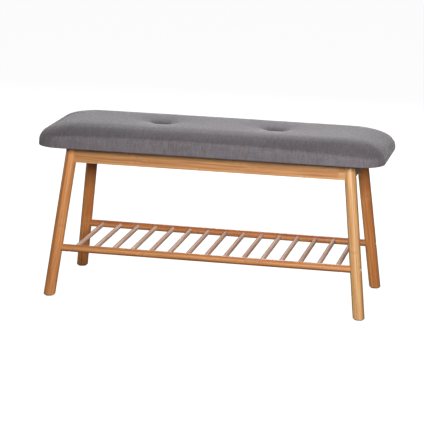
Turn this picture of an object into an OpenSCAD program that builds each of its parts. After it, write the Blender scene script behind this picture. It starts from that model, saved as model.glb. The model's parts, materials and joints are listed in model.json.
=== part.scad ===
// Entryway bench: an upholstered seat with two sunk tufts, on a splayed frame
// of round bamboo legs, with a shelf of round slats for shoes.
// Millimetres, +Z up. The origin is on the floor under the middle of the seat;
// +X runs along the seat to the right and -Y is the front.

/* [Seat] */
// Length of the upholstered seat, left to right
seat_len = 900; // [860:10:1000]
// Depth of the upholstered seat, front to back
seat_depth = 336; // [326:2:360]
// Height of the seat's crown above the floor
seat_top = 450; // [435:5:480]
// Thickness of the upholstered seat at its crown
pad_t = 59.4; // [54:0.2:66]
// Rise of the seat's top from its edge to its crown
crown = 11; // [6:1:14]
// Plan radius of the seat's corners
corner_r = 56; // [45:1:60]
// Size of the rounding along the seat's top edge
edge_r = 22; // [16:1:24]
// Thickness of the seat board
board_t = 12; // [9:1:15]

/* [Tufts] */
// Distance between the two tufts
tuft_gap = 300; // [240:10:360]
// Length of a tuft's stitch, left to right
stitch_l = 20; // [14:1:26]
// Depth of a tuft's stitch below the crown
tuft_depth = 16; // [12:1:18]
// Diameter of the tufting twine
twine_d = 2; // [1.5:0.5:3]

/* [Legs] */
// Diameter of a leg
leg_d = 30; // [28:1:32]
// Distance between the feet, left to right
foot_span_x = 810; // [790:5:830]
// Distance between the feet, front to back
foot_span_y = 320; // [310:5:330]
// Distance between the leg tops, left to right
top_span_x = 718; // [700:2:730]
// Distance between the leg tops, front to back
top_span_y = 216; // [206:2:226]
// Size of the chamfer round a foot
foot_chamfer = 1.5; // [0.5:0.5:3]
// Diameter of a glide's head
glide_d = 24; // [18:1:26]
// Thickness of a glide's head under a foot
glide_t = 2; // [1.5:0.5:3]

/* [Aprons] */
// Height of the four aprons
apron_h = 43; // [40:1:46]
// Thickness of the four aprons
apron_t = 20; // [18:1:22]

/* [Shelf] */
// Height of the shelf rails' axes above the floor
shelf_z = 125; // [110:5:160]
// Diameter of a shelf rail
rail_d = 19; // [18:1:22]
// Diameter of a slat
slat_d = 12; // [8:1:12]
// Number of slats
slat_count = 15; // [11:1:16]
// Distance from one slat to the next
slat_pitch = 48.7; // [42:0.1:48.7]

/* [Hardware] */
// Diameter of a connector bolt's shank
bolt_d = 6; // [5:0.5:6]
// Diameter of a connector bolt's head
head_d = 12; // [10:1:13]
// Diameter of a barrel nut
nut_d = 10; // [9:0.5:10]
// Diameter of a glued dowel
dowel_d = 8; // [6:1:8]

/* [Hidden] */
$fn = 96;

bamboo = "#cf9a62";
bamboo_pale = "#dcb88c";
steel = "#b8bcc0";
grey_cloth = "#807d83";
plywood = "#d9bd92";
SIDES = [-1, 1];
FRONT = -1;
BACK = 1;
LEFT = -1;
RIGHT = 1;
eps = 0.01;

// Layers between the frame and the seat board
dust_t = 0.6;
cloth_t = 1.4;
frame_top = seat_top - pad_t - dust_t;
pad_z = frame_top + dust_t;
board_z = pad_z + cloth_t;

// Legs and aprons
leg_run = [(foot_span_x - top_span_x) / 2, (foot_span_y - top_span_y) / 2] / frame_top;
apron_z = frame_top - apron_h / 2;
end_x = leg_at(apron_z)[0];
apron_y = leg_at(apron_z)[1];
inner_x = end_x - apron_t / 2;
inner_y = apron_y - apron_t / 2;
bolt_z = apron_z + 6;
dowel_z = apron_z - 11;
end_dowel_z = [apron_z - 10, apron_z + 12];
dowel_in_leg = 9;
dowel_len = 32;
glide_pin_d = 2.4;
glide_pin_l = 14;

// Shelf
shelf_x = leg_at(shelf_z)[0];
shelf_y = leg_at(shelf_z)[1];
rail_in_leg = 8;
rail_end = shelf_x - leg_d / 2 + rail_in_leg;
slat_end = shelf_y - 1;

// Connector bolts: the head's place in a leg, and the nut's in an apron or rail
head_t = 4;
head_sink = 5;
bolt_clear = 1;
hex_key = 4;
nut_l = 14;
bolt_past_nut = 6;
apron_nut_x = leg_at(bolt_z)[0] - leg_d / 2 - 48;
rail_nut_x = rail_end - 28;

// Corner blocks and their screws, placed from the aprons' inner corner
block_cut = 14;
block_leg = 48;
block_h = 34;
block_z = frame_top - block_h - 1;
block_screw_off = 36;
block_screw_in = 12;
block_screw_z = block_z + 8;
screw_d = 4;
screw_head_d = 8;
screw_head_t = 2.6;
seat_screw_off = 17;
seat_screw_l = 44;
block_web = block_leg - block_screw_off - screw_head_d / 2;

// Seat: the board, the cover's fold under it, staples and tufts
board_inset = 8;
fold = 60;
staple_inset = 30;
staple_w = 10;
staple_wire = 0.7;
staple_leg = 8;
staple_step = 46;
pocket_w = 14;
pocket_z = seat_top - tuft_depth;
anchor_w = 14;
anchor_t = 1.4;

function slat_name(i) = str("shelf_slat_", i < 10 ? "0" : "", i);
function slat_x(i) = (i - (slat_count + 1) / 2) * slat_pitch;

// Where a leg's axis is at height z, in the quarter with +X and +Y
function leg_at(z) = [foot_span_x / 2, foot_span_y / 2] - leg_run * z;

// ---- Placing ----

// Draws its children, made for the quarter with +X and +Y, on side sx, sy
module quarter(sx, sy)
    mirror([sx < 0 ? 1 : 0, 0, 0]) mirror([0, sy < 0 ? 1 : 0, 0]) children();

module every_quarter()
    for (sx = SIDES, sy = SIDES) quarter(sx, sy) children();

// A cylinder of diameter d along +X from x0 to x1
module bar_x(d, x0, x1, y, z)
    translate([x0, y, z]) rotate([0, 90, 0]) cylinder(d = d, h = x1 - x0);

// A cylinder of diameter d along +Y from y0 to y1
module bar_y(d, y0, y1, x, z)
    translate([x, y0, z]) rotate([-90, 0, 0]) cylinder(d = d, h = y1 - y0);

// ---- Legs ----

// Round stock along a leg's splayed axis, longer than the leg at both ends
module leg_stock() {
    spare = 40;
    tilt = norm(leg_run);
    translate([foot_span_x / 2, foot_span_y / 2, 0])
        rotate([0, -atan(tilt), atan2(leg_run[1], leg_run[0])])
            translate([0, 0, -spare])
                cylinder(d = leg_d, h = frame_top * sqrt(1 + tilt * tilt) + 2 * spare);
}

// The space between the glide and the seat, coned in round the foot
module leg_trim()
    intersection() {
        translate([0, 0, glide_t]) cube([foot_span_x, foot_span_y, frame_top - glide_t]);
        translate([foot_span_x / 2, foot_span_y / 2, glide_t])
            cylinder(r1 = leg_d / 2 - foot_chamfer, r2 = leg_d / 2 + frame_top, h = frame_top);
    }

// The shank's hole and the head's pocket for a connector bolt through a leg
module leg_bolt_hole(y, z) {
    x = leg_at(z)[0];
    bar_x(bolt_d + bolt_clear, x - leg_d, x + leg_d, y, z);
    bar_x(head_d + bolt_clear, x + leg_d / 2 - head_sink, x + leg_d, y, z);
}

module leg()
    color(bamboo)
    difference() {
        intersection() {
            leg_stock();
            leg_trim();
        }
        leg_bolt_hole(apron_y, bolt_z);
        leg_bolt_hole(shelf_y, shelf_z);
        bar_x(rail_d, 0, rail_end, shelf_y, shelf_z);
        apron_dowel_stock();
        end_apron_dowel_stock();
        glide_pin();
    }

module glide_pin()
    translate([foot_span_x / 2, foot_span_y / 2, glide_t - eps])
        cylinder(d = glide_pin_d, h = glide_pin_l);

// A nailed-on glide, its head's rim turned in at the floor
module glide() {
    rim = 0.8;
    color("lightgray")
    union() {
        translate([foot_span_x / 2, foot_span_y / 2, 0]) {
            cylinder(r1 = glide_d / 2 - rim, r2 = glide_d / 2, h = rim);
            translate([0, 0, rim]) cylinder(d = glide_d, h = glide_t - rim);
        }
        glide_pin();
    }
}

// ---- Aprons ----

module long_apron_stock()
    translate([-end_x, apron_y - apron_t / 2, frame_top - apron_h])
        cube([2 * end_x, apron_t, apron_h]);

// A long apron, its ends coped to the round legs
module long_apron()
    color(bamboo)
    difference() {
        long_apron_stock();
        for (sx = SIDES) quarter(sx, BACK) {
            leg_stock();
            apron_bolt_hole();
            apron_dowel_stock();
            block_screw_x();
        }
    }

// The bolt's hole from the apron's end, and the nut's from its inner face
module apron_bolt_hole() {
    bar_x(bolt_d + bolt_clear, apron_nut_x - bolt_past_nut - bolt_clear, end_x, apron_y, bolt_z);
    bar_y(nut_d, inner_y - eps, inner_y + nut_l + bolt_clear, apron_nut_x, bolt_z);
}

// An end apron, coped to the legs and cut back from the long aprons
module end_apron()
    color(bamboo)
    difference() {
        translate([end_x - apron_t / 2, -apron_y, frame_top - apron_h])
            cube([apron_t, 2 * apron_y, apron_h]);
        for (sy = SIDES) quarter(RIGHT, sy) {
            leg_stock();
            long_apron_stock();
            end_apron_dowel_stock();
            block_screw_y();
        }
    }

// The glued dowel between a leg and a long apron
module apron_dowel_stock() {
    tip = leg_at(dowel_z)[0] - leg_d / 2 + dowel_in_leg;
    bar_x(dowel_d, tip - dowel_len, tip, apron_y, dowel_z);
}

// The two glued dowels between a leg and an end apron
module end_apron_dowel_stock()
    for (z = end_dowel_z) {
        tip = leg_at(z)[1] - leg_d / 2 + dowel_in_leg;
        bar_y(dowel_d, tip - dowel_len, tip, end_x, z);
    }

// ---- Connector bolts and barrel nuts ----

// A bolt along X with its head outermost, and a hexagonal key socket in it
module connector_bolt(head_x, tip_x, y, z) {
    key_depth = 2.6;
    color(steel)
    difference() {
        union() {
            bar_x(bolt_d, tip_x, head_x + eps, y, z);
            bar_x(head_d, head_x, head_x + head_t, y, z);
        }
        translate([head_x + head_t - key_depth, y, z])
            rotate([0, 90, 0])
                cylinder(d = hex_key / cos(30), h = key_depth + 1, $fn = 6);
    }
}

module apron_bolt() {
    head_x = leg_at(bolt_z)[0] + leg_d / 2 - head_sink;
    connector_bolt(head_x, apron_nut_x - bolt_past_nut, apron_y, bolt_z);
}

module rail_bolt() {
    head_x = shelf_x + leg_d / 2 - head_sink;
    connector_bolt(head_x, rail_nut_x - bolt_past_nut, shelf_y, shelf_z);
}

// The thread's hole across a barrel nut
module nut_thread(x, y, z) bar_x(bolt_d, x - nut_d, x + nut_d, y, z);

// A barrel nut that lies in the long apron, flush with its inner face
module apron_nut()
    color(steel)
    difference() {
        bar_y(nut_d, inner_y, inner_y + nut_l, apron_nut_x, bolt_z);
        nut_thread(apron_nut_x, apron_y, bolt_z);
    }

// A barrel nut that stands in the shelf rail
module rail_nut()
    color(steel)
    difference() {
        translate([rail_nut_x, shelf_y, shelf_z - nut_l / 2]) cylinder(d = nut_d, h = nut_l);
        nut_thread(rail_nut_x, shelf_y, shelf_z);
    }

// ---- Corner blocks ----

module corner_block()
    color(bamboo_pale)
    difference() {
        translate([inner_x, inner_y, block_z])
            linear_extrude(block_h)
                polygon([[-block_cut, 0], [-block_leg, 0], [0, -block_leg], [0, -block_cut]]);
        seat_screw_stock();
        block_screw_x();
        block_screw_y();
        block_screw_pockets();
    }

// A countersunk screw along +Z, its head's underside at the origin
module screw_stock(l) {
    translate([0, 0, -screw_head_t])
        cylinder(d1 = screw_head_d, d2 = screw_d, h = screw_head_t);
    translate([0, 0, -eps]) cylinder(d = screw_d, h = l);
}

// The cross-shaped recess in a screw's head
module screw_recess() {
    slot_w = 1;
    slot_depth = 1.2;
    for (turn = [0, 90]) rotate([0, 0, turn])
        translate([-screw_d / 2, -slot_w / 2, -screw_head_t - eps])
            cube([screw_d, slot_w, slot_depth]);
}

module at_seat_screw()
    translate([inner_x - seat_screw_off, inner_y - seat_screw_off, block_z + screw_head_t])
        children();

module at_block_screw_x()
    translate([inner_x - block_screw_off, inner_y - block_web, block_screw_z])
        rotate([-90, 0, 0]) children();

module at_block_screw_y()
    translate([inner_x - block_web, inner_y - block_screw_off, block_screw_z])
        rotate([0, 90, 0]) children();

module seat_screw_stock() at_seat_screw() screw_stock(seat_screw_l);

module block_screw_x() at_block_screw_x() screw_stock(block_web + block_screw_in);

module block_screw_y() at_block_screw_y() screw_stock(block_web + block_screw_in);

// The ways in for the block screws' heads, from the block's open side
module block_screw_pockets() {
    depth = 12;
    at_block_screw_x() translate([0, 0, -screw_head_t - depth])
        cylinder(d = screw_head_d, h = depth + eps);
    at_block_screw_y() translate([0, 0, -screw_head_t - depth])
        cylinder(d = screw_head_d, h = depth + eps);
}

module seat_screw()
    color(steel)
    difference() {
        seat_screw_stock();
        at_seat_screw() screw_recess();
    }

module block_screw_pair()
    color(steel)
    difference() {
        union() {
            block_screw_x();
            block_screw_y();
        }
        at_block_screw_x() screw_recess();
        at_block_screw_y() screw_recess();
    }

// ---- Shelf ----

// A round rail with blind holes for the slats and a bolt's hole at each end
module shelf_rail()
    color(bamboo)
    difference() {
        bar_x(rail_d, -rail_end, rail_end, shelf_y, shelf_z);
        for (i = [1:slat_count]) bar_y(slat_d, 0, slat_end, slat_x(i), shelf_z);
        for (sx = SIDES) quarter(sx, BACK) rail_bolt_hole();
    }

// The bolt's hole from the rail's end, and the nut's from below
module rail_bolt_hole() {
    bar_x(bolt_d + bolt_clear, rail_nut_x - bolt_past_nut - bolt_clear, rail_end + eps,
          shelf_y, shelf_z);
    translate([rail_nut_x, shelf_y, shelf_z - rail_d])
        cylinder(d = nut_d, h = rail_d + nut_l / 2);
}

module slat(i) color(bamboo_pale) bar_y(slat_d, -slat_end, slat_end, slat_x(i), shelf_z);

// ---- Seat ----

// The plan radius of the seat's corners on an outline drawn inward by d
function corner_at(d) = corner_r * (1 - 2 * d / seat_depth);

// The seat's outline, drawn inward by d, as points at height z
function outline(d, z, steps = 8) =
    let (r = corner_at(d))
    let (x = seat_len / 2 - d - r, y = seat_depth / 2 - d - r)
    let (centres = [[x, y], [-x, y], [-x, -y], [x, -y]])
    [for (k = [0:3]) for (i = [0:steps])
        let (a = 90 * (k + i / steps))
        [centres[k][0] + r * cos(a), centres[k][1] + r * sin(a), z]];

// The seat's side and top as [inset, height] pairs from the bottom edge to the
// crown, drawn inward by t: the tuck under, the edge's rounding, the crown
function seat_profile(t, tuck = 3) =
    let (edge_z = seat_top - crown, half = seat_depth / 2)
    concat(
        [for (a = [0:22.5:90]) [t + tuck * (1 - sin(a)), pad_z + t + tuck * (1 - cos(a))]],
        [for (a = [0:11.25:90])
            [edge_r - (edge_r - t) * cos(a), edge_z - edge_r + (edge_r - t) * sin(a)]],
        [for (f = [0.16:0.16:0.96])
            [edge_r + (half - edge_r) * f, edge_z - t + crown * (1 - (1 - f) * (1 - f))]]
    );

// Skins a list of outlines into one closed solid
module loft(rings) {
    n = len(rings[0]);
    last = (len(rings) - 1) * n;
    points = [for (ring = rings) for (p = ring) p];
    sides = [for (k = [0:len(rings) - 2]) for (i = [0:n - 1])
        let (j = (i + 1) % n) [k * n + i, (k + 1) * n + i, (k + 1) * n + j, k * n + j]];
    caps = [[for (i = [0:n - 1]) i], [for (i = [n - 1:-1:0]) last + i]];
    polyhedron(points, concat(sides, caps));
}

// A flat plate with the seat's outline, drawn inward by inset
module plate(inset, z, t)
    translate([0, 0, z])
        linear_extrude(t)
            union() {
                r = corner_at(inset);
                x = seat_len / 2 - inset;
                y = seat_depth / 2 - inset;
                square([2 * (x - r), 2 * y], center = true);
                square([2 * x, 2 * (y - r)], center = true);
                for (sx = SIDES, sy = SIDES) translate([sx * (x - r), sy * (y - r)]) circle(r);
            }

module board_stock() plate(board_inset, board_z, board_t);

module seat_board()
    color(plywood)
    difference() {
        board_stock();
        every_quarter() seat_screw_stock();
        every_tuft() {
            twine_holes(2 * twine_d);
            tuft_slot(anchor_w + 1, board_z - eps, twine_d + eps);
        }
        every_staple() staple_stock();
    }

// Foam over the board and down its edges, with a pocket for each tuft
module seat_foam()
    color("lightyellow")
    difference() {
        loft([for (p = seat_profile(cloth_t)) outline(p[0], p[1])]);
        board_stock();
        every_tuft() {
            twine_holes(2 * twine_d);
            tuft_slot(pocket_w + 2 * cloth_t, pocket_z - cloth_t, pad_t);
        }
    }

// The fabric: one skin over the foam, folded under the board, with a cup of
// fabric down each tuft's pocket
module seat_cover() {
    inner = seat_profile(cloth_t);
    path = concat(
        [for (i = [len(inner) - 1:-1:0]) inner[i]],
        [[fold, board_z], [fold, pad_z]],
        seat_profile(0)
    );
    color(grey_cloth)
    difference() {
        union() {
            loft([for (p = path) outline(p[0], p[1])]);
            every_tuft()
                tuft_slot(pocket_w + 2 * cloth_t, pocket_z - cloth_t, tuft_depth + cloth_t / 2);
        }
        every_tuft() {
            tuft_slot(pocket_w, pocket_z, pad_t);
            twine_holes(twine_d);
        }
        every_staple() staple_stock();
    }
}

module dust_cover() {
    inset = 16;
    color([0.16, 0.16, 0.17])
    difference() {
        plate(inset, frame_top, dust_t);
        every_quarter() seat_screw_stock();
        every_staple() staple_stock();
    }
}

// One wire staple, its back along X under the dust cover
module staple_stock() {
    z = frame_top - staple_wire;
    translate([-staple_w / 2, -staple_wire / 2, z]) cube([staple_w, staple_wire, staple_wire]);
    for (x = [-staple_w / 2, staple_w / 2 - staple_wire])
        translate([x, -staple_wire / 2, z]) cube([staple_wire, staple_wire, staple_leg]);
}

// Puts its child at each place in the rows of staples round the seat
module every_staple() {
    x = seat_len / 2 - staple_inset;
    y = seat_depth / 2 - staple_inset;
    nx = floor((x - corner_r) / staple_step);
    ny = floor((y - corner_r / 2) / staple_step);
    for (i = [-nx:nx], sy = SIDES) translate([i * staple_step, sy * y, 0]) children();
    for (i = [-ny:ny], sx = SIDES)
        translate([sx * x, i * staple_step, 0]) rotate([0, 0, 90]) children();
}

// ---- Tufts ----

module every_tuft() for (sx = SIDES) at_tuft(sx) children();

module at_tuft(sx) translate([sx * tuft_gap / 2, 0, 0]) children();

// A slot of width w round the stitch's two ends, from z up by h
module tuft_slot(w, z, h)
    translate([0, 0, z]) {
        for (sx = SIDES) translate([sx * stitch_l / 2, 0, 0]) cylinder(d = w, h = h);
        translate([-stitch_l / 2, -w / 2, 0]) cube([stitch_l, w, h]);
    }

// Where the twine's two runs go, from below the board to the stitch
module twine_holes(d) {
    low = pad_z + twine_d / 2;
    for (sx = SIDES) translate([sx * stitch_l / 2, 0, low])
        cylinder(d = d, h = pocket_z + twine_d / 2 - low);
}

// One loop of twine: two upright runs, a stitch on top and a turn below
module tuft_twine() {
    r = twine_d / 2;
    color("gainsboro")
    union() {
        twine_holes(twine_d);
        for (z = [pad_z + r, pocket_z + r]) {
            bar_x(twine_d, -stitch_l / 2, stitch_l / 2, 0, z);
            for (sx = SIDES) translate([sx * stitch_l / 2, 0, z]) sphere(d = twine_d);
        }
    }
}

// A plate under the board that spreads the twine's pull
module tuft_anchor()
    color([0.2, 0.2, 0.2])
    difference() {
        tuft_slot(anchor_w, board_z + twine_d - anchor_t, anchor_t);
        twine_holes(twine_d);
    }

// ---- Nodes ----

quarter(LEFT, FRONT) leg();  // leg_front_left
quarter(RIGHT, FRONT) leg();  // leg_front_right
quarter(LEFT, BACK) leg();  // leg_back_left
quarter(RIGHT, BACK) leg();  // leg_back_right
quarter(RIGHT, FRONT) long_apron();  // apron_front
long_apron();  // apron_back
quarter(LEFT, BACK) end_apron();  // apron_left
end_apron();  // apron_right
quarter(LEFT, FRONT) corner_block();  // corner_block_front_left
quarter(RIGHT, FRONT) corner_block();  // corner_block_front_right
quarter(LEFT, BACK) corner_block();  // corner_block_back_left
quarter(RIGHT, BACK) corner_block();  // corner_block_back_right
quarter(RIGHT, FRONT) shelf_rail();  // shelf_rail_front
shelf_rail();  // shelf_rail_back
for (i = [1:slat_count]) slat(i);
quarter(LEFT, FRONT) glide();  // glide_front_left
quarter(RIGHT, FRONT) glide();  // glide_front_right
quarter(LEFT, BACK) glide();  // glide_back_left
quarter(RIGHT, BACK) glide();  // glide_back_right
seat_board();
seat_foam();
seat_cover();
dust_cover();
color(steel) every_staple() staple_stock();  // cover_staples
at_tuft(LEFT) tuft_twine();  // tuft_twine_left
at_tuft(RIGHT) tuft_twine();  // tuft_twine_right
at_tuft(LEFT) tuft_anchor();  // tuft_anchor_left
at_tuft(RIGHT) tuft_anchor();  // tuft_anchor_right
every_quarter() apron_bolt();  // apron_bolts
every_quarter() apron_nut();  // apron_nuts
every_quarter() rail_bolt();  // rail_bolts
every_quarter() rail_nut();  // rail_nuts
color(bamboo_pale) every_quarter() apron_dowel_stock();  // apron_dowels
color(bamboo_pale) every_quarter() end_apron_dowel_stock();  // end_apron_dowels
every_quarter() block_screw_pair();  // block_screws
every_quarter() seat_screw();  // seat_screws
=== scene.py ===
"""An upholstered entryway bench: looks, light and camera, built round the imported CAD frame."""
import json
import math

import bpy
import numpy as np
from mathutils import Matrix, Vector


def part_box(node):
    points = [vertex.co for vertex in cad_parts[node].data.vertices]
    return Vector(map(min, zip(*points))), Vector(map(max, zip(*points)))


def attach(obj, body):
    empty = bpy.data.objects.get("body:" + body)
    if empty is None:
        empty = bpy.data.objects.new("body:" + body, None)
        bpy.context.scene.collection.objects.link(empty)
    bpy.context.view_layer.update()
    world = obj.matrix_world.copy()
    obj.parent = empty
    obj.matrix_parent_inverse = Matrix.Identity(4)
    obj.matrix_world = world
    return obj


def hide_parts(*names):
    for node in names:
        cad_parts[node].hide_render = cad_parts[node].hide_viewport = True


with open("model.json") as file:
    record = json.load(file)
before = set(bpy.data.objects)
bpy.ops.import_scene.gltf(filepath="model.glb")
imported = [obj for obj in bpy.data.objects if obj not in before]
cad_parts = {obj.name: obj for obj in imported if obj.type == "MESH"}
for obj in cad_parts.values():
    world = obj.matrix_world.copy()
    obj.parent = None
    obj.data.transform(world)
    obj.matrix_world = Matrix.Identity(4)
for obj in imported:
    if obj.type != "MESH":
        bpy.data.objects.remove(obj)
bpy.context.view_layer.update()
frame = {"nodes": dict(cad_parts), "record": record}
scene = bpy.context.scene

MM = 0.001
SEAT_LOW, SEAT_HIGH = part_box("seat_cover")
FEET = {m["name"]: Vector(m["pos_m"]) for m in frame["record"]["mounts"]}

# ---------------------------------------------------------------- camera

CAMERA_AZIMUTH = math.radians(11.55)
CAMERA_ELEVATION = math.radians(13.1)
CAMERA_ROLL = math.radians(1.41)
CAMERA_DISTANCE = 5.2
CAMERA_LENS_MM = 169.0
CAMERA_TARGET = Vector((-0.0116, 0, 0.213))


def make_camera():
    """A long lens well back from the bench, a little above it and to its right."""
    az, el = CAMERA_AZIMUTH, CAMERA_ELEVATION
    back = Vector((math.sin(az) * math.cos(el), -math.cos(az) * math.cos(el), math.sin(el)))
    level = Vector((math.cos(az), math.sin(az), 0))
    above = back.cross(level)
    right = math.cos(CAMERA_ROLL) * level + math.sin(CAMERA_ROLL) * above
    up = back.cross(right)
    data = bpy.data.cameras.new("camera")
    data.lens = CAMERA_LENS_MM
    data.clip_end = 50
    camera = bpy.data.objects.new("camera", data)
    scene.collection.objects.link(camera)
    turn = Matrix((right, up, back)).transposed().to_4x4()
    camera.matrix_world = Matrix.Translation(CAMERA_TARGET + back * CAMERA_DISTANCE) @ turn
    scene.camera = camera


# ---------------------------------------------------------------- light and floor


def area_light(name, place, target, size, power, colour=(1, 1, 1)):
    """A soft rectangular light at place, turned towards target."""
    data = bpy.data.lights.new(name, "AREA")
    data.shape = "RECTANGLE"
    data.size, data.size_y = size
    data.energy = power
    data.color = colour
    light = bpy.data.objects.new(name, data)
    light.visible_camera = False
    light.location = place
    light.rotation_euler = (Vector(target) - Vector(place)).to_track_quat("-Z", "Y").to_euler()
    scene.collection.objects.link(light)


def make_studio():
    """A low softbox in front and to the right, one behind the seat, a weak one at the left
    and a pale floor."""
    scene.view_settings.view_transform = "Standard"
    area_light("front_softbox", (0.75, -2.2, 1.15), (0, 0, 0.35), (1.5, 0.6), 66, (1, 0.99, 0.97))
    area_light("back_softbox", (0, 2.3, 1.6), (0, 0, 0.4), (1.4, 0.8), 43, (1, 0.945, 1.05))
    area_light("left_softbox", (-2.4, 0.5, 0.9), (-0.3, 0, 0.3), (0.8, 1.2), 12)

    world = bpy.data.worlds.new("studio")
    scene.world = world
    world.use_nodes = True
    g = Graph(world.node_tree)
    g.tree.nodes.clear()
    seen = g.add("ShaderNodeBackground", Color=(1, 1, 1, 1), Strength=1.0)
    lit = g.add("ShaderNodeBackground", Color=(1, 1, 1, 1), Strength=0.015)
    path = g.add("ShaderNodeLightPath")
    both = g.add("ShaderNodeMixShader")
    g.join(path.outputs["Is Camera Ray"], both.inputs[0])
    g.join(lit.outputs[0], both.inputs[1])
    g.join(seen.outputs[0], both.inputs[2])
    g.join(both.outputs[0], g.add("ShaderNodeOutputWorld").inputs[0])

    bpy.ops.mesh.primitive_plane_add(size=24, location=(0, 0, 0))
    floor = bpy.context.object
    floor.name = "floor"
    g, shader = new_material("floor_white")
    path = g.add("ShaderNodeLightPath").outputs["Is Camera Ray"]
    g.join(g.mix(path, (0.15, 0.15, 0.15, 1), (0.24, 0.24, 0.24, 1)), shader.inputs["Base Color"])
    g.join(g.math("MULTIPLY", path, 0.96), shader.inputs["Emission Strength"])
    shader.inputs["Emission Color"].default_value = (1, 1, 1, 1)
    shader.inputs["Roughness"].default_value = 1.0
    shader.inputs["Specular IOR Level"].default_value = 0.0
    floor.data.materials.append(g.material)


# ---------------------------------------------------------------- shader graphs


class Graph:
    """A node tree, with one short call for each kind of node that the materials use."""

    def __init__(self, tree, material=None):
        self.tree = tree
        self.material = material

    def add(self, kind, settings=None, **inputs):
        """A new node. settings are the node's own choices; inputs are values or outputs."""
        node = self.tree.nodes.new(kind)
        for key, value in (settings or {}).items():
            setattr(node, key, value)
        for key, value in inputs.items():
            self.put(node.inputs[key.replace("_", " ")], value)
        return node

    def put(self, socket, value):
        if isinstance(value, bpy.types.NodeSocket):
            self.join(value, socket)
        elif value is not None:
            socket.default_value = value

    def join(self, output, socket):
        self.tree.links.new(output, socket)

    def place(self):
        """Where a point is in the row frame, in metres."""
        return self.add("ShaderNodeTexCoord").outputs["Object"]

    def local(self, origin, along, across):
        """The same place from origin, with Z along the piece and X across it."""
        z = Vector(along).normalized()
        y = z.cross(Vector(across)).normalized()
        turn = Matrix((y.cross(z), y, z)).transposed().to_euler()
        mapping = self.add("ShaderNodeMapping", {"vector_type": "TEXTURE"}, Vector=self.place())
        mapping.inputs["Location"].default_value = origin
        mapping.inputs["Rotation"].default_value = turn
        return mapping.outputs[0]

    def math(self, operation, a, b=None, clamp=False):
        node = self.add("ShaderNodeMath", {"operation": operation, "use_clamp": clamp})
        self.put(node.inputs[0], a)
        self.put(node.inputs[1], b)
        return node.outputs[0]

    def vector(self, operation, a, b):
        node = self.add("ShaderNodeVectorMath", {"operation": operation})
        self.put(node.inputs[0], a)
        self.put(node.inputs[1], b)
        return node.outputs[0]

    def split(self, vector):
        return self.add("ShaderNodeSeparateXYZ", Vector=vector).outputs

    def noise(self, vector, scale, detail=3.0, roughness=0.5):
        node = self.add("ShaderNodeTexNoise", Vector=vector, Scale=scale, Detail=detail)
        node.inputs["Roughness"].default_value = roughness
        return node.outputs["Fac"]

    def streaks(self, vector, scales, detail=2.0):
        """Noise drawn out along the axes whose scale is small."""
        return self.noise(self.vector("MULTIPLY", vector, scales), 1.0, detail)

    def cell(self, vector):
        """A random value from 0 to 1 for each whole-numbered cell."""
        node = self.add("ShaderNodeTexWhiteNoise", {"noise_dimensions": "3D"}, Vector=vector)
        return node.outputs["Value"]

    def ramp(self, value, stops):
        """A colour from value, through (place, colour) stops."""
        node = self.add("ShaderNodeValToRGB", Fac=value)
        while len(node.color_ramp.elements) < len(stops):
            node.color_ramp.elements.new(0.5)
        for element, (position, colour) in zip(node.color_ramp.elements, stops):
            element.position = position
            element.color = (*colour, 1)
        return node.outputs[0]

    def span(self, value, low, high, to_low=0.0, to_high=1.0):
        """value carried from low..high to to_low..to_high, and held there."""
        node = self.add("ShaderNodeMapRange", Value=value)
        names = ("From Min", "From Max", "To Min", "To Max")
        for name, number in zip(names, (low, high, to_low, to_high)):
            node.inputs[name].default_value = number
        return node.outputs[0]

    def mix(self, share, a, b, blend="MIX"):
        node = self.add("ShaderNodeMix", {"data_type": "RGBA", "blend_type": blend})
        self.put(node.inputs["Factor"], share)
        self.put(node.inputs[6], a)
        self.put(node.inputs[7], b)
        return node.outputs[2]

    def bump(self, height, strength, distance):
        node = self.add("ShaderNodeBump", Height=height)
        node.inputs["Strength"].default_value = strength
        node.inputs["Distance"].default_value = distance
        return node.outputs[0]


def new_material(name):
    """A new node material: its graph and its shader."""
    material = bpy.data.materials.new(name)
    material.use_nodes = True
    g = Graph(material.node_tree, material)
    return g, material.node_tree.nodes["Principled BSDF"]


def srgb(red, green, blue):
    """A colour given on the 0 to 255 scale of a screen, as linear light."""
    def linear(c):
        c /= 255
        return c / 12.92 if c <= 0.04045 else ((c + 0.055) / 1.055) ** 2.4
    return tuple(linear(c) for c in (red, green, blue))


# ---------------------------------------------------------------- bamboo

# how far apart a strip's node marks are; a mark's and its halo's half height are shares of that
NODE_PERIOD = 0.27
NODE_MARK_HALF = 0.016
NODE_HALO_HALF = 0.085

# how thick and how wide one strip is; the round legs show broader ones
STRIP = (7 * MM, 19 * MM)
BROAD_STRIP = (45 * MM, 19 * MM)

# the contrast at which the strips' tones need no shift
EVEN_CONTRAST = 0.75
FIBRE_BROWN = (*srgb(160, 98, 54), 1)
FLECK_BROWN = (*srgb(120, 72, 38), 1)
HALO_CREAM = (*srgb(236, 196, 140), 1)
MARK_BROWN = (*srgb(150, 92, 50), 1)
SLAT_TINT = (0.98, 1.12, 1.66)

BAMBOO_TONES = [
    (0.00, srgb(186, 128, 80)),
    (0.35, srgb(208, 152, 100)),
    (0.65, srgb(220, 170, 118)),
    (1.00, srgb(232, 192, 140)),
]


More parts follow.
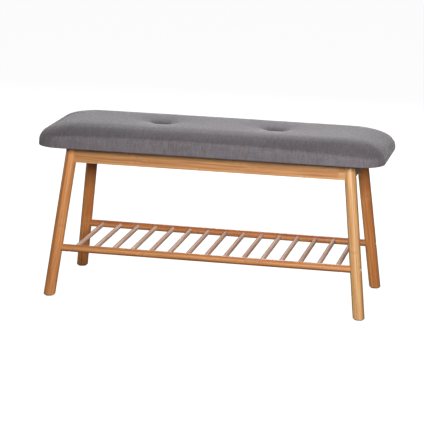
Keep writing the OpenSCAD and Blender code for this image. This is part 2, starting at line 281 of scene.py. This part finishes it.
def bamboo(name, origin, along, across, seed, tone=0.0, tint=(1, 1, 1), contrast=EVEN_CONTRAST,
           strip=STRIP, gloss=1.0):
    """Laminated bamboo: strips along the piece, each with its tone, fibres and node marks.

    The strips are stacked along across. tone makes the piece paler, or darker if it's
    negative; tint colours it; contrast is how much the strips differ; strip is how thick
    and how wide one is; gloss is how shiny the lacquer is."""
    g, shader = new_material(name)
    shift = (0.31 * seed, 0.17 * seed, 0.53 * seed)
    at = g.vector("ADD", g.local(origin, along, across), shift)
    x, y, z = g.split(at)

    waver = g.math("MULTIPLY", g.noise(g.vector("MULTIPLY", at, (1, 1, 3)), 1.0, 1), 1.5 * MM)
    column = g.math("FLOOR", g.math("DIVIDE", g.math("ADD", x, waver), strip[0]))
    row = g.math("FLOOR", g.math("DIVIDE", g.math("ADD", y, waver), strip[1]))
    which = g.add("ShaderNodeCombineXYZ", X=column, Y=row, Z=float(seed)).outputs[0]
    value = g.cell(which)
    start = g.cell(g.vector("ADD", which, (7.3, 1.9, 4.1)))

    # fibres, as long thin streaks, some of them dark
    fibre = g.streaks(at, (420, 420, 8), 3)
    fleck = g.span(g.streaks(at, (700, 700, 16), 1), 0.60, 0.74)
    drift = g.streaks(at, (60, 60, 4), 2)

    # a node mark across each strip, at its own place
    along_strip = g.math("FRACT", g.math("ADD", g.math("DIVIDE", z, NODE_PERIOD), start))
    off_mark = g.math("ABSOLUTE", g.math("SUBTRACT", along_strip, 0.5))
    ragged = g.math("MULTIPLY", g.streaks(at, (260, 260, 60), 1), 0.014)
    mark = g.span(g.math("SUBTRACT", off_mark, ragged), NODE_MARK_HALF, 0.0)
    halo = g.span(off_mark, NODE_HALO_HALF, 0.0)

    level = g.math("ADD", g.math("MULTIPLY", value, contrast), g.math("MULTIPLY", drift, 0.35))
    level = g.math("ADD", level, tone + (EVEN_CONTRAST - contrast) / 2, clamp=True)
    colour = g.ramp(level, BAMBOO_TONES)
    colour = g.mix(g.span(fibre, 0.35, 0.65, 0.0, 0.5), colour, FIBRE_BROWN, "MULTIPLY")
    colour = g.mix(g.math("MULTIPLY", fleck, 0.4), colour, FLECK_BROWN)
    colour = g.mix(g.math("MULTIPLY", halo, 0.18), colour, HALO_CREAM)
    colour = g.mix(g.math("MULTIPLY", mark, 0.24), colour, MARK_BROWN)
    colour = g.mix(1.0, colour, (*tint, 1), "MULTIPLY")
    g.join(colour, shader.inputs["Base Color"])

    rough = g.math("ADD", g.span(fibre, 0.3, 0.7, 0.36, 0.48), g.math("MULTIPLY", mark, 0.15))
    g.join(rough, shader.inputs["Roughness"])
    relief = g.math("SUBTRACT", g.math("MULTIPLY", fibre, 0.4), g.math("MULTIPLY", mark, 0.6))
    g.join(g.bump(relief, 0.25, 0.3 * MM), shader.inputs["Normal"])
    shader.inputs["Coat Weight"].default_value = 0.24 * gloss
    shader.inputs["Specular IOR Level"].default_value = 0.45 * gloss
    shader.inputs["Coat Roughness"].default_value = 0.33
    return g.material


def paint(node, material):
    """Puts one material on a CAD node, in place of its own."""
    obj = frame["nodes"][node]
    obj.data.materials.clear()
    obj.data.materials.append(material)


def paint_legs():
    """Each leg's strips run along its splayed axis; the pieces differ a little in tone."""
    looks = {
        ("front", "left"): (8, 0.10, (0.94, 0.68, 0.45), 0.5),
        ("front", "right"): (52, 0.30, (1.04, 1.03, 0.92), 1.4),
        ("back", "left"): (5, -0.1, (1.05, 0.85, 0.58), 0.5),
        ("back", "right"): (6, 0.1, (1.18, 0.92, 0.66), 0.5),
    }
    for (row, side), (seed, tone, tint, contrast) in looks.items():
        low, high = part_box(f"leg_{row}_{side}")
        foot = FEET[f"foot_{row}_{side}"]
        radius = abs(foot.x - (high.x if foot.x > 0 else low.x))
        lean = Vector((high.x - low.x - 2 * radius, high.y - low.y - 2 * radius, high.z))
        lean.x *= -math.copysign(1, foot.x)
        lean.y *= -math.copysign(1, foot.y)
        name = f"bamboo_leg_{row}_{side}"
        wood = bamboo(name, foot, lean, (-0.2, 1, 0), seed, tone, tint, contrast, BROAD_STRIP)
        paint(f"leg_{row}_{side}", wood)


def middle(node):
    """The middle of a CAD node's box."""
    low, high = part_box(node)
    return (low + high) / 2


def paint_frame():
    """Aprons, rails, slats and blocks, with the grain along each."""
    x, y, z = (1, 0, 0), (0, 1, 0), (0, 0, 1)
    rows = [
        ("apron_front", x, z, 11, 0.0, (0.95, 0.92, 0.86), 0.5),
        ("apron_back", x, z, 12, -0.1, (0.95, 0.88, 0.80), 0.6),
        ("apron_left", y, z, 13, 0.0, (0.95, 0.88, 0.80), 0.6),
        ("apron_right", y, z, 14, 0.3, (1.05, 1.02, 0.95), 0.3),
        ("shelf_rail_front", x, z, 15, 0.0, (0.92, 0.70, 0.52), 0.9),
        ("shelf_rail_back", x, z, 16, -0.1, (0.96, 0.71, 0.53), 0.9),
        ("apron_dowels", x, z, 17, 0.2, (0.95, 0.93, 0.9), 0.5),
        ("end_apron_dowels", y, z, 18, 0.2, (0.95, 0.93, 0.9), 0.5),
    ]
    for node, along, across, seed, tone, tint, contrast in rows:
        paint(node, bamboo(f"bamboo_{node}", middle(node), along, across, seed, tone, tint, contrast))
    for seed, node in enumerate(n for n in sorted(frame["nodes"]) if n.startswith("corner_block")):
        paint(node, bamboo(f"wood_{node}", middle(node), z, x, 30 + seed, 0.1, (1.0, 0.98, 0.92)))
    slats = sorted(n for n in frame["nodes"] if n.startswith("shelf_slat"))
    for seed, node in enumerate(slats):
        tone = 0.2 + 0.1 * math.sin(2.4 * seed)
        name = f"bamboo_{node}"
        wood = bamboo(name, middle(node), y, z, 40 + seed, tone, SLAT_TINT, 0.3, gloss=0.15)
        paint(node, wood)


# ---------------------------------------------------------------- other materials


def steel():
    """Bright zinc plate, a little cloudy."""
    g, shader = new_material("zinc_plate")
    at = g.place()
    cloud = g.noise(at, 160, 4)
    scratch = g.streaks(at, (300, 4000, 4000), 2)
    colour = g.ramp(cloud, [(0.3, srgb(168, 170, 172)), (0.7, srgb(204, 205, 206))])
    g.join(colour, shader.inputs["Base Color"])
    g.join(g.span(scratch, 0.3, 0.7, 0.26, 0.42), shader.inputs["Roughness"])
    g.join(g.bump(scratch, 0.1, 0.05 * MM), shader.inputs["Normal"])
    shader.inputs["Metallic"].default_value = 1.0
    return g.material


def plastic(name, dark, light, roughness):
    """Moulded plastic, with a fine spark-eroded grain."""
    g, shader = new_material(name)
    at = g.place()
    grain = g.noise(at, 2600, 2)
    colour = g.ramp(g.noise(at, 90, 3), [(0.35, dark), (0.65, light)])
    g.join(colour, shader.inputs["Base Color"])
    g.join(g.span(grain, 0.3, 0.7, roughness - 0.06, roughness + 0.06), shader.inputs["Roughness"])
    g.join(g.bump(grain, 0.2, 0.1 * MM), shader.inputs["Normal"])
    return g.material


def plywood():
    """Thin plies through the board's thickness, with a rotary-cut face grain."""
    g, shader = new_material("plywood")
    at = g.place()
    x, y, z = g.split(at)
    low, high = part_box("seat_board")
    plies = 7
    ply = g.math("FLOOR", g.math("MULTIPLY", g.math("SUBTRACT", z, low.z), plies / (high.z - low.z)))
    shade = g.cell(g.add("ShaderNodeCombineXYZ", Z=ply).outputs[0])
    grain = g.streaks(at, (7, 90, 90), 4)
    level = g.math("ADD", g.math("MULTIPLY", shade, 0.45), g.math("MULTIPLY", grain, 0.55))
    colour = g.ramp(level, [(0.2, srgb(178, 138, 92)), (0.8, srgb(222, 192, 146))])
    g.join(colour, shader.inputs["Base Color"])
    g.join(g.span(grain, 0.3, 0.7, 0.6, 0.75), shader.inputs["Roughness"])
    g.join(g.bump(grain, 0.2, 0.2 * MM), shader.inputs["Normal"])
    return g.material


def dust_cloth():
    """Black spunbond cloth: loose fibres pressed flat, with a grid of bonded points."""
    g, shader = new_material("dust_cloth")
    at = g.place()
    x, y, z = g.split(at)
    fibres = g.noise(at, 900, 4, 0.7)
    pitch = 2 * math.pi / (2.2 * MM)
    wave_x, wave_y = (g.math("SINE", g.math("MULTIPLY", c, pitch)) for c in (x, y))
    points = g.math("MULTIPLY", wave_x, wave_y)
    bond = g.span(points, 0.35, 0.75)
    colour = g.ramp(fibres, [(0.3, srgb(24, 24, 26)), (0.7, srgb(54, 54, 58))])
    g.join(colour, shader.inputs["Base Color"])
    g.join(g.span(bond, 0.0, 1.0, 0.85, 0.6), shader.inputs["Roughness"])
    relief = g.math("SUBTRACT", g.math("MULTIPLY", fibres, 0.6), bond)
    g.join(g.bump(relief, 0.5, 0.25 * MM), shader.inputs["Normal"])
    return g.material


def twine():
    """Twisted grey thread, with painted shade in the grooves of its twist."""
    g, shader = new_material("tufting_twine")
    at = g.place()
    x, y, z = g.split(at)
    turn = 2 * math.pi / (2.4 * MM)
    lay = g.math("ADD", g.math("ADD", x, z), g.math("MULTIPLY", y, 0.8))
    strand = g.math("SINE", g.math("MULTIPLY", lay, turn))
    # painted shade: the colour darkens in the grooves between the strands and lightens on their
    # crests
    colour = g.ramp(g.span(strand, -1, 1), [(0.1, srgb(70, 68, 72)), (0.7, srgb(136, 133, 138))])
    g.join(colour, shader.inputs["Base Color"])
    g.join(g.span(strand, -1, 1, 0.9, 0.75), shader.inputs["Roughness"])
    g.join(g.bump(strand, 0.6, 0.3 * MM), shader.inputs["Normal"])
    return g.material


def fabric():
    """A grey plain-weave cloth of mixed light and dark yarns.

    The warp runs over the front edge and the weft over the ends, so both are drawn in the row
    frame: streaks that follow each yarn, and a weave in the plane that the surface lies in."""
    g, shader = new_material("melange_cloth")
    at = g.place()
    x, y, z = g.split(at)
    facing = g.vector("ABSOLUTE", g.add("ShaderNodeNewGeometry").outputs["Normal"], None)
    to_x, to_y, to_z = g.split(facing)
    upright = g.math("SUBTRACT", 1.0, g.span(to_z, 0.35, 0.8))

    warp = g.streaks(at, (1000, 40, 40), 2)
    weft = g.streaks(at, (40, 1000, 40), 2)
    round_weft = g.math("MULTIPLY", g.streaks(at, (26, 26, 760), 2), upright)
    fuzz = g.noise(at, 1300, 3, 0.65)
    slub = g.noise(at, 430, 2)
    cloud = g.noise(at, 9, 3)

    yarn = g.math("ADD", g.math("MULTIPLY", warp, 0.36), g.math("MULTIPLY", weft, 0.14))
    yarn = g.math("ADD", yarn, g.math("MULTIPLY", g.math("SUBTRACT", slub, 0.5), 0.34))
    yarn = g.math("ADD", yarn, g.math("MULTIPLY", round_weft, 0.12))
    yarn = g.math("ADD", yarn, g.math("MULTIPLY", fuzz, 0.44))
    yarn = g.math("ADD", yarn, g.math("MULTIPLY", cloud, 0.08))
    tones = [(0.40, srgb(82, 77, 82)), (0.52, srgb(104, 99, 103)), (0.66, srgb(124, 119, 124))]
    grey = g.ramp(yarn, tones)
    hue = g.streaks(at, (210, 15, 15), 2)
    tinted = g.ramp(hue, [(0.36, (0.96, 1.0, 1.03)), (0.5, (1, 1, 1)), (0.64, (1.04, 0.98, 0.97))])
    g.join(g.mix(1.0, grey, tinted, "MULTIPLY"), shader.inputs["Base Color"])

    pitch = 2 * math.pi / (2.6 * MM)
    wave_x, wave_y, wave_z = (g.math("SINE", g.math("MULTIPLY", c, pitch)) for c in (x, y, z))
    flat = g.math("MULTIPLY", g.math("MULTIPLY", wave_x, wave_y), g.span(to_z, 0.5, 0.8))
    front = g.math("MULTIPLY", g.math("MULTIPLY", wave_x, wave_z), g.span(to_y, 0.5, 0.8))
    end = g.math("MULTIPLY", g.math("MULTIPLY", wave_y, wave_z), g.span(to_x, 0.5, 0.8))
    weave = g.math("ADD", g.math("ADD", flat, front), end)
    relief = g.math("ADD", g.math("MULTIPLY", weave, 0.5), g.math("MULTIPLY", fuzz, 0.9))
    g.join(g.bump(relief, 0.55, 0.45 * MM), shader.inputs["Normal"])
    g.join(g.span(fuzz, 0.3, 0.7, 0.82, 0.95), shader.inputs["Roughness"])
    shader.inputs["Sheen Weight"].default_value = 0.3
    shader.inputs["Sheen Roughness"].default_value = 0.4
    shader.inputs["Specular IOR Level"].default_value = 0.2
    return g.material


STEEL_NODES = (
    "apron_bolts",
    "apron_nuts",
    "rail_bolts",
    "rail_nuts",
    "block_screws",
    "seat_screws",
    "cover_staples",
)


def paint_hardware():
    """The metal, plastic, thread, board and dust cover."""
    metal = steel()
    for node in STEEL_NODES:
        paint(node, metal)
    nylon = plastic("glide_nylon", srgb(176, 166, 150), srgb(198, 188, 172), 0.5)
    for node in (n for n in frame["nodes"] if n.startswith("glide")):
        paint(node, nylon)
    black = plastic("anchor_plastic", srgb(22, 22, 23), srgb(38, 38, 40), 0.55)
    thread = twine()
    for side in ("left", "right"):
        paint(f"tuft_anchor_{side}", black)
        paint(f"tuft_twine_{side}", thread)
    paint("seat_board", plywood())
    paint("dust_cover", dust_cloth())


# ---------------------------------------------------------------- the padded seat

HALF_X = SEAT_HIGH.x - 1.5 * MM
HALF_Y = SEAT_HIGH.y - 0.7 * MM
CORNER_R = 62 * MM
CROWN_Z = SEAT_HIGH.z - 3 * MM
BELOW = 9 * MM  # how far the sides run on below the seat before the base is flattened
VOXEL = 6 * MM

# the swell: its cap, how much of it the sides keep, how much lower the form starts for it,
# the rounds of smoothing, and the simulation's length in frames
SWELL = 3 * MM
SIDE_SWELL = 0.3
START_LOWER = SWELL * 0.7
SMOOTHING = 60
LAST_FRAME = 20
HELD_HEIGHT = 2 * MM

# the arch of the long edges: its height, its middle, its half length, the height of the edge
# itself, and the band of y over which it fades in
ARCH = 9 * MM
ARCH_X = -60 * MM
ARCH_HALF = 375 * MM
EDGE_Z = 421 * MM
ARCH_FROM_Y = 60 * MM
ARCH_BAND = 60 * MM

# the tufts: half a stitch, its middle, and the heights over which the cloth follows it
STITCH = (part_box("tuft_twine_right")[1].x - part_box("tuft_twine_right")[0].x) / 2
TUFT_X = middle("tuft_twine_right").x
TUFT_FROM_Z = 425 * MM
TUFT_BAND = 10 * MM

# the shoulder between the side and the crown: the height where its edge starts, how far the
# edge goes in and up, the slope of the cloth from there, and how far in it reaches the crown
LONG_SIDE = (414 * MM, 6 * MM, 8 * MM, 0.68, 98 * MM)
END_SIDE = (402 * MM, 28 * MM, 33 * MM, 0.51, 156 * MM)
# the shares of the profile's steps at which the straight side ends and the edge ends
STRAIGHT = 0.14
EDGE = 0.5
PROFILE_STEPS = 48
CORNER_STEPS = 10


def shoulder(end_share, lower, share):
    """(inset, height) at a share of the profile, for a place that faces the end by end_share.

    lower is how much the whole shoulder is let down, to leave room for the swell."""
    blend = (a + (b - a) * end_share for a, b in zip(LONG_SIDE, END_SIDE))
    start, width, rise, slope, reach = blend
    start, top = start - lower, CROWN_Z - lower
    if share <= STRAIGHT:
        base = SEAT_LOW.z - BELOW
        return 0, base + (start - base) * share / STRAIGHT
    last = math.atan2(rise, width * slope)
    turn = last * min(1, (share - STRAIGHT) / (EDGE - STRAIGHT))
    inset, height = width * (1 - math.cos(turn)), start + rise * math.sin(turn)
    if share <= EDGE:
        return inset, height
    power = slope * (reach - inset) / (top - height)
    left = 1 - (share - EDGE) / (1 - EDGE)
    return inset + (reach - inset) * (1 - left), top - (top - height) * left ** power


def seat_rings(lower):
    """The seat's outline at each step of its profile, from the bottom edge to the crown."""
    rings = []
    for step in range(PROFILE_STEPS + 1):
        ring = []
        for quarter in range(4):
            sx = (1, -1, -1, 1)[quarter]
            sy = (1, 1, -1, -1)[quarter]
            for k in range(CORNER_STEPS + 1):
                a = math.pi / 2 * (quarter + k / CORNER_STEPS)
                inset, height = shoulder(math.cos(a) ** 2, lower, step / PROFILE_STEPS)
                r = CORNER_R * (1 - inset / HALF_Y)
                x = sx * (HALF_X - inset - r) + r * math.cos(a)
                y = sy * (HALF_Y - inset - r) + r * math.sin(a)
                ring.append((x, y, height))
        rings.append(ring)
    return rings


def mesh_object(name, points, faces):
    """A new object in the scene with this mesh."""
    mesh = bpy.data.meshes.new(name)
    mesh.from_pydata(points, [], faces)
    mesh.update()
    obj = bpy.data.objects.new(name, mesh)
    scene.collection.objects.link(obj)
    return obj


def loft(name, rings):
    """One closed mesh through a list of rings of equal length."""
    n = len(rings[0])
    points = [p for ring in rings for p in ring]
    faces = [tuple(reversed(range(n))), tuple(range((len(rings) - 1) * n, len(rings) * n))]
    for k in range(len(rings) - 1):
        for i in range(n):
            j = (i + 1) % n
            faces.append((k * n + i, k * n + j, (k + 1) * n + j, (k + 1) * n + i))
    return mesh_object(name, points, faces)


def applied(obj):
    """Replaces obj's mesh with what its modifiers make of it."""
    graph = bpy.context.evaluated_depsgraph_get()
    made = bpy.data.meshes.new_from_object(obj.evaluated_get(graph), depsgraph=graph)
    obj.modifiers.clear()
    obj.data = made


def coords(mesh):
    """The mesh's points, one row each."""
    co = np.empty(len(mesh.vertices) * 3)
    mesh.vertices.foreach_get("co", co)
    return co.reshape(-1, 3)


def set_coords(mesh, co):
    """Moves the mesh's points to these rows."""
    mesh.vertices.foreach_set("co", co.ravel())
    mesh.update()


def spread(mesh, values, rounds):
    """Averages a row of values per point with its neighbours' rows, a number of times."""
    ends = np.empty(len(mesh.edges) * 2, dtype=np.int32)
    mesh.edges.foreach_get("vertices", ends)
    a, b = ends.reshape(-1, 2).T
    one, other = np.concatenate((a, b)), np.concatenate((b, a))
    count = np.bincount(one, minlength=len(values))
    for _ in range(rounds):
        sums = [np.bincount(one, weights=v[other], minlength=len(values)) for v in values.T]
        values = (values + np.stack(sums, axis=1) / count[:, None]) / 2
    return values


def simulate(seat):
    """Swells the cover over its foam, with its lower edge held to the board.

    The foam keeps the cover from moving in and the board keeps its sides from moving far out.
    The swell is capped, and its small wrinkles are smoothed out."""
    base = coords(seat.data)
    normals = np.empty(base.size)
    seat.data.vertices.foreach_get("normal", normals)
    normals = normals.reshape(-1, 3)
    held = base[:, 2] < SEAT_LOW.z + HELD_HEIGHT
    group = seat.vertex_groups.new(name="held")
    group.add([int(i) for i in np.flatnonzero(held)], 1.0, "REPLACE")
    cloth = seat.modifiers.new("cloth", "CLOTH")
    cloth.settings.vertex_group_mass = "held"
    cloth.settings.quality = 5
    cloth.settings.tension_stiffness = 25
    cloth.settings.compression_stiffness = 25
    cloth.settings.shear_stiffness = 10
    cloth.settings.bending_stiffness = 20
    cloth.settings.use_pressure = True
    cloth.settings.uniform_pressure_force = 4
    cloth.settings.effector_weights.gravity = 0
    cloth.point_cache.frame_end = LAST_FRAME
    for at in range(1, LAST_FRAME + 1):
        scene.frame_set(at)
    applied(seat)
    swell = np.sum((coords(seat.data) - base) * normals, axis=1)
    moved = normals * np.clip(swell, 0, SWELL)[:, None] * (SIDE_SWELL, SIDE_SWELL, 1)
    set_coords(seat.data, base + spread(seat.data, moved, SMOOTHING))
    scene.frame_set(1)


def tuft_depth(x, y):
    """How far the two stitches pull the cloth down at x, y, measured from the crown."""
    from_tuft = np.abs(x) - TUFT_X
    past_end = np.maximum(np.abs(from_tuft) - STITCH, 0)
    to_stitch = np.hypot(past_end, y)
    to_pit = np.hypot(np.abs(from_tuft) - STITCH, y * 1.15)
    bowl = 3 * MM * np.exp(-(to_stitch / (60 * MM)) ** 2)
    cone = 7.5 * MM * np.exp(-(to_stitch / (24 * MM)) ** 1.2)
    crease = 2.5 * MM * np.exp(-(from_tuft / (34 * MM)) ** 2 - np.abs(y) / (6 * MM))
    pit = 4 * MM * np.exp(-to_pit / (6 * MM))
    return bowl + cone + crease + pit


def sink_tufts(seat):
    """Pulls the cover down at the two tufts."""
    co = coords(seat.data)
    on_top = np.clip((co[:, 2] - TUFT_FROM_Z) / TUFT_BAND, 0, 1)
    co[:, 2] -= tuft_depth(co[:, 0], co[:, 1]) * on_top
    set_coords(seat.data, co)


def arch_edges(seat):
    """Lifts the edge of the front and of the back between the corners, as the foam holds it."""
    co = coords(seat.data)
    facing_long = np.clip((np.abs(co[:, 1]) - ARCH_FROM_Y) / ARCH_BAND, 0, 1)
    bow = ARCH * (1 - ((co[:, 0] - ARCH_X) / ARCH_HALF) ** 2)
    near = np.interp(co[:, 2], [SEAT_LOW.z, EDGE_Z, CROWN_Z], [0, 1, 0])
    co[:, 2] += bow * near * facing_long
    set_coords(seat.data, co)


def flatten_base(seat):
    """Rests the underside flat on the frame, which leaves a close lower edge."""
    co = coords(seat.data)
    co[:, 2] = np.maximum(co[:, 2], SEAT_LOW.z)
    set_coords(seat.data, co)


def make_seat():
    """The upholstery as one closed, crowned form with two sunk tufts."""
    lower = START_LOWER
    seat = loft("seat_upholstery", seat_rings(lower))
    remesh = seat.modifiers.new("remesh", "REMESH")
    remesh.mode = "VOXEL"
    remesh.voxel_size = VOXEL
    applied(seat)
    simulate(seat)
    finer = seat.modifiers.new("finer", "SUBSURF")
    finer.levels = finer.render_levels = 1
    applied(seat)
    arch_edges(seat)
    sink_tufts(seat)
    flatten_base(seat)
    for polygon in seat.data.polygons:
        polygon.use_smooth = True
    seat.data.materials.clear()
    seat.data.materials.append(fabric())
    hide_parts("seat_cover", "seat_foam")
    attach(seat, "root")


make_camera()
make_studio()
paint_legs()
paint_frame()
paint_hardware()
make_seat()
